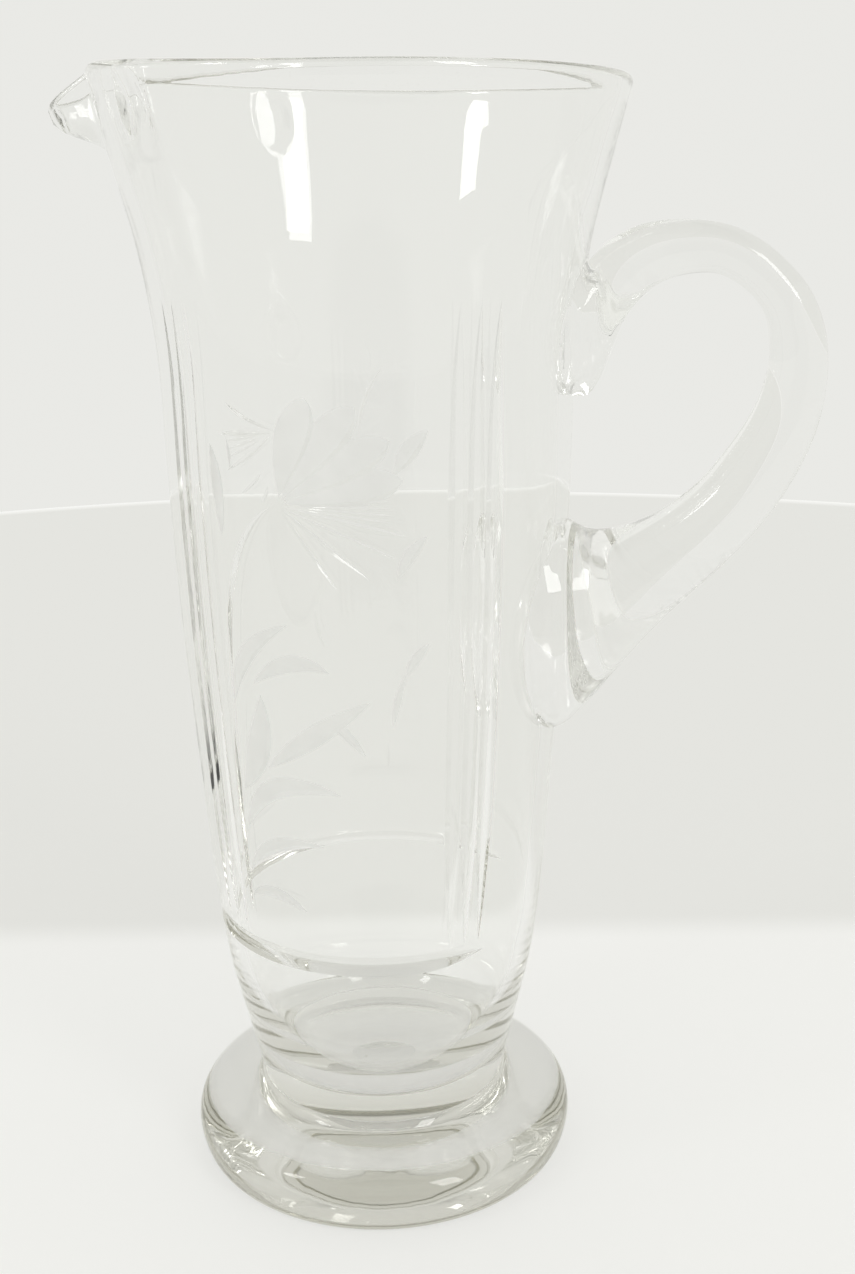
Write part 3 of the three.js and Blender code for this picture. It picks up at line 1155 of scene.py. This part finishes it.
@dataclass
class PitcherGlass:
    """A batch of glass. Each face's finish is marked on it by attributes."""

    name: str = "clear_glass"
    skin: GlassFinish = GlassFinish(Finish.FIRE_POLISHED, (0.0, 0.03), 0.1 * MM)
    cuts: tuple[GlassFinish, ...] = (
        GlassFinish(Finish.SATIN_CUT, (0.28, 0.46), 0.02 * MM),
        GlassFinish(Finish.BRIGHT_CUT, (0.0, 0.06), 0.003 * MM),
        GlassFinish(Finish.GROUND, (0.25, 0.5), 0.03 * MM),
    )
    clear_tint: tuple[float, float, float] = (0.985, 0.987, 0.98)
    dust_tint: tuple[float, float, float] = (0.86, 0.86, 0.83)
    index: float = 1.5
    absorb_tint: tuple[float, float, float] = (0.80, 0.80, 0.755)
    absorb_per_metre: float = 2.5
    material: bpy.types.Material = field(init=False)

    def __post_init__(self) -> None:
        """Builds the shared patterns if they are missing, then the material."""
        for build in (blown_ripple, handling_haze, wheel_marks):
            if build.__name__ not in bpy.data.node_groups:
                build()
        self.material = self._make()

    def _make(self) -> bpy.types.Material:
        """Builds the glass material.

        Returns:
            The material.
        """
        made = bpy.data.materials.new(self.name)
        made.use_nodes = True
        tree = made.node_tree
        tree.nodes.clear()
        kit = NodeKit(tree)
        output = kit.node("ShaderNodeOutputMaterial")
        shader = kit.node("ShaderNodeBsdfPrincipled", IOR=self.index, Transmission_Weight=1.0)
        kit.link(shader.outputs["BSDF"], output.inputs["Surface"])
        depth = kit.node(
            "ShaderNodeVolumeAbsorption", Color=(*self.absorb_tint, 1.0), Density=self.absorb_per_metre
        )
        kit.link(depth.outputs["Volume"], output.inputs["Volume"])
        place = kit.node("ShaderNodeTexCoord").outputs["Object"]
        ripple = kit.pattern("blown_ripple", place)
        clean, dull = self.skin.roughness
        haze = kit.pattern("handling_haze", place, Clean=clean, Dull=dull)
        rough = haze.outputs["Roughness"]
        height = kit.scaled(ripple.outputs["Height"], self.skin.bump_depth)
        for cut in self.cuts:
            low, high = cut.roughness
            marks = kit.pattern("wheel_marks", place, Smooth=low, Coarse=high)
            mask = kit.node("ShaderNodeAttribute", attribute_name=cut.mask()).outputs["Fac"]
            rough = kit.mixed(mask, rough, marks.outputs["Roughness"])
            height = kit.mixed(mask, height, kit.scaled(marks.outputs["Height"], cut.bump_depth))
        kit.link(rough, shader.inputs["Roughness"])
        tint = kit.node("ShaderNodeMix", data_type="RGBA")
        tint.inputs["A"].default_value = (*self.clear_tint, 1.0)
        tint.inputs["B"].default_value = (*self.dust_tint, 1.0)
        kit.link(haze.outputs["Dust"], tint.inputs["Factor"])
        kit.link(tint.outputs["Result"], shader.inputs["Base Color"])
        fused = kit.node("ShaderNodeAttribute", attribute_name=Finish.FUSED.name.lower()).outputs["Fac"]
        seen = kit.node("ShaderNodeMapRange", To_Min=1.0, To_Max=0.0)
        kit.link(fused, seen.inputs["Value"])
        kit.link(seen.outputs["Result"], shader.inputs["Alpha"])
        bump = kit.node("ShaderNodeBump", Strength=1.0, Distance=1.0)
        kit.link(height, bump.inputs["Height"])
        kit.link(bump.outputs["Normal"], shader.inputs["Normal"])
        return made

    def dress(self, piece: bpy.types.Object) -> None:
        """Gives a piece one slot for each finish, so that a cut keeps its number."""
        for _ in Finish:
            piece.data.materials.append(self.material)

    def mark(self, piece: bpy.types.Object) -> None:
        """Writes each face's finish to its attributes and leaves one material slot.

        Args:
            piece: A cut and dressed object.
        """
        mesh = piece.data
        numbers = [face.material_index for face in mesh.polygons]
        for finish in Finish:
            layer = mesh.attributes.new(finish.name.lower(), "FLOAT", "FACE")
            layer.data.foreach_set("value", [float(n == finish.value) for n in numbers])
        mesh.polygons.foreach_set("material_index", [0] * len(numbers))
        mesh.materials.clear()
        mesh.materials.append(self.material)


@dataclass
class Studio:
    """Pale table, soft light and the camera."""

    table_radius: float = 1.03
    table_sides: int = 160
    stand_back: float = 403.24 * MM  # camera to the pitcher's axis, along the table
    eye_height: float = 270.94 * MM
    camera_turn: float = math.radians(14.0)  # the camera stands this far round from -Y towards +X
    yaw: float = math.radians(2.12)
    pitch: float = math.radians(16.233)
    roll: float = math.radians(0.744)
    lens: float = 42.41
    sensor: float = 36.0
    bounces: int = 96
    table_drop: float = 0.02 * MM
    table_white: tuple[float, float, float] = (0.86, 0.86, 0.835)
    table_grey: tuple[float, float, float] = (0.76, 0.76, 0.73)
    # painted highlight: a lighter band round the table's edge, where light would catch it
    table_edge: tuple[float, float, float] = (0.95, 0.95, 0.93)
    edge_width: float = 0.02
    table_share: float = 0.35  # how much of its tone the table reflects; the rest is painted light, a glow of its own
    # painted light: the table glows with its own tone, though it is no lamp, so shadows on it stay faint
    table_glow: float = 0.70
    grey_from: tuple[float, float] = (0.112, 0.135)  # how far behind the pitcher the table turns grey
    room_tone: tuple[float, float, float] = (0.82, 0.82, 0.79)
    roof_tone: tuple[float, float, float] = (0.5, 0.5, 0.48)
    roof_from: tuple[float, float] = (0.80, 0.93)  # sines of the heights between which the roof darkens
    open_tone: tuple[float, float, float] = (0.56, 0.56, 0.54)  # the room's open side, behind the camera
    open_from: tuple[float, float] = (0.86, 0.95)  # cosines of the angles over which it darkens
    lamp_aim: float = 0.18
    # name, turn and rise in degrees, distance, width, height, power in watts
    lamps: tuple[tuple[str, float, float, float, float, float, float], ...] = (
        ("right_window", -36.0, 36.0, 1.1, 0.24, 0.5, 2.0),
        ("left_window", -141.0, 38.0, 1.1, 0.16, 0.24, 0.8),
    )

    def heading(self) -> float:
        """How far the camera's look is turned from +Y towards -X."""
        return self.camera_turn - self.yaw

    def build_camera(self) -> bpy.types.Object:
        """Makes the scene's camera.

        Returns:
            The camera.
        """
        data = bpy.data.cameras.new("camera")
        data.sensor_width = self.sensor
        data.lens = self.lens
        data.clip_start, data.clip_end = 0.01, 20.0
        camera = bpy.data.objects.new("camera", data)
        bpy.context.scene.collection.objects.link(camera)
        heading = self.heading()
        ahead = Vector((-math.sin(heading), math.cos(heading), 0.0)) * math.cos(self.pitch)
        ahead.z = -math.sin(self.pitch)
        right = ahead.cross(Vector((0, 0, 1))).normalized()
        up = right.cross(ahead)
        turn = Matrix((right, up, -ahead)).transposed()
        camera.matrix_world = (
            Matrix.Translation(self.camera_place()) @ turn.to_4x4() @ Matrix.Rotation(-self.roll, 4, "Z")
        )
        bpy.context.scene.camera = camera
        return camera

    def camera_place(self) -> Vector:
        """Where the camera stands.

        Returns:
            A point in metres.
        """
        return Vector(
            (
                self.stand_back * math.sin(self.camera_turn),
                -self.stand_back * math.cos(self.camera_turn),
                self.eye_height,
            )
        )

    def build_table(self) -> bpy.types.Object:
        """Makes the pale table top: near white in front, a little greyer behind the pitcher, lighter at its
        edge as a painted highlight, and glowing with painted light that keeps its shadows faint.

        Returns:
            The table.
        """
        shape = bmesh.new()
        bmesh.ops.create_circle(shape, cap_ends=True, segments=self.table_sides, radius=self.table_radius)
        bmesh.ops.translate(shape, verts=shape.verts, vec=(0, 0, -self.table_drop))
        table = add_object("table", shape)
        material = bpy.data.materials.new("table_paint")
        material.use_nodes = True
        kit = NodeKit(material.node_tree)
        shader = material.node_tree.nodes["Principled BSDF"]
        place = kit.node("ShaderNodeTexCoord").outputs["Object"]
        faced = kit.node("ShaderNodeMapping", Rotation=(0.0, 0.0, -self.heading()))
        kit.link(place, faced.inputs["Vector"])
        parts = kit.node("ShaderNodeSeparateXYZ")
        kit.link(faced.outputs["Vector"], parts.inputs["Vector"])
        start, end = self.grey_from
        behind = kit.node("ShaderNodeMapRange", From_Min=start, From_Max=end)
        behind.interpolation_type = "SMOOTHSTEP"
        kit.link(parts.outputs["Y"], behind.inputs["Value"])
        tone = kit.node("ShaderNodeMix", data_type="RGBA")
        tone.inputs["A"].default_value = (*self.table_white, 1.0)
        tone.inputs["B"].default_value = (*self.table_grey, 1.0)
        kit.link(behind.outputs["Result"], tone.inputs["Factor"])
        from_middle = kit.node("ShaderNodeVectorMath", operation="LENGTH")
        kit.link(place, from_middle.inputs[0])
        # painted highlight: the paint turns lighter over the table's outer band
        inner = self.table_radius - self.edge_width
        edge_highlight_share = kit.node("ShaderNodeMapRange", From_Min=inner, From_Max=self.table_radius)
        kit.link(from_middle.outputs["Value"], edge_highlight_share.inputs["Value"])
        paint = kit.node("ShaderNodeMix", data_type="RGBA")
        kit.link(edge_highlight_share.outputs["Result"], paint.inputs["Factor"])
        kit.link(tone.outputs["Result"], paint.inputs["A"])
        paint.inputs["B"].default_value = (*self.table_edge, 1.0)
        reflected = kit.node("ShaderNodeVectorMath", operation="SCALE", Scale=self.table_share)
        kit.link(paint.outputs["Result"], reflected.inputs[0])
        kit.link(reflected.outputs["Vector"], shader.inputs["Base Color"])
        # painted light: the table also glows with its own paint
        kit.link(paint.outputs["Result"], shader.inputs["Emission Color"])
        shader.inputs["Emission Strength"].default_value = self.table_glow
        shader.inputs["Roughness"].default_value = 0.7
        table.data.materials.append(material)
        return table

    def build_world(self) -> None:
        """Surrounds the table with a pale room that has a darker roof and one darker, open side."""
        world = bpy.data.worlds.new("room")
        bpy.context.scene.world = world
        world.use_nodes = True
        kit = NodeKit(world.node_tree)
        parts = kit.node("ShaderNodeSeparateXYZ")
        look = kit.node("ShaderNodeTexCoord").outputs["Generated"]
        kit.link(look, parts.inputs["Vector"])
        low, high = self.roof_from
        roof = kit.node("ShaderNodeMapRange", From_Min=low, From_Max=high)
        roof.interpolation_type = "SMOOTHSTEP"
        kit.link(parts.outputs["Z"], roof.inputs["Value"])
        tone = kit.node("ShaderNodeMix", data_type="RGBA")
        tone.inputs["A"].default_value = (*self.room_tone, 1.0)
        tone.inputs["B"].default_value = (*self.roof_tone, 1.0)
        kit.link(roof.outputs["Result"], tone.inputs["Factor"])
        facing = kit.node("ShaderNodeVectorMath", operation="DOT_PRODUCT")
        kit.link(look, facing.inputs[0])
        facing.inputs[1].default_value = (math.sin(self.heading()), -math.cos(self.heading()), 0.0)
        near, far = self.open_from
        opening = kit.node("ShaderNodeMapRange", From_Min=near, From_Max=far)
        opening.interpolation_type = "SMOOTHSTEP"
        kit.link(facing.outputs["Value"], opening.inputs["Value"])
        room = kit.node("ShaderNodeMix", data_type="RGBA")
        room.inputs["B"].default_value = (*self.open_tone, 1.0)
        kit.link(opening.outputs["Result"], room.inputs["Factor"])
        kit.link(tone.outputs["Result"], room.inputs["A"])
        kit.link(room.outputs["Result"], world.node_tree.nodes["Background"].inputs["Color"])

    def build_lamps(self) -> None:
        """Hangs the soft boxes, which only reflections and the lit surfaces show."""
        for name, turn, rise, away, width, height, power in self.lamps:
            data = bpy.data.lights.new(name, "AREA")
            data.shape = "RECTANGLE"
            data.size, data.size_y = width, height
            data.energy = power
            lamp = bpy.data.objects.new(name, data)
            bpy.context.scene.collection.objects.link(lamp)
            turn, rise = math.radians(turn), math.radians(rise)
            out = Vector((math.cos(turn) * math.cos(rise), math.sin(turn) * math.cos(rise), math.sin(rise)))
            aim = Vector((0.0, 0.0, self.lamp_aim))
            facing = out.to_track_quat("Z", "Y").to_matrix().to_4x4()
            lamp.matrix_world = Matrix.Translation(aim + out * away) @ facing
            lamp.visible_camera = False

    def build(self) -> None:
        """Makes the whole studio."""
        self.build_table()
        self.build_world()
        self.build_lamps()
        self.build_camera()
        scene = bpy.context.scene
        scene.view_settings.view_transform = "Standard"
        scene.cycles.max_bounces = self.bounces
        scene.cycles.transmission_bounces = self.bounces
        scene.cycles.glossy_bounces = self.bounces
        scene.cycles.transparent_max_bounces = self.bounces


def main() -> None:
    """Builds every piece and the studio in order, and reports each."""
    logging.basicConfig(level=logging.INFO, format="%(message)s")
    clear = PitcherGlass()
    deep = PitcherGlass(name="foot_glass", absorb_tint=(0.80, 0.795, 0.75), absorb_per_metre=22.0)
    makers = ((Body(), "vessel", clear), (Foot(), "foot", deep), (Handle(), "handle", clear))
    for maker, node, glass in makers:
        piece = maker.build(glass)
        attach(piece, "root")
        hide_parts(node)
        log.info("%s: %d faces", piece.name, len(piece.data.polygons))
    Studio().build()
    log.info("studio ready")


if __name__ == "__main__":
    main()
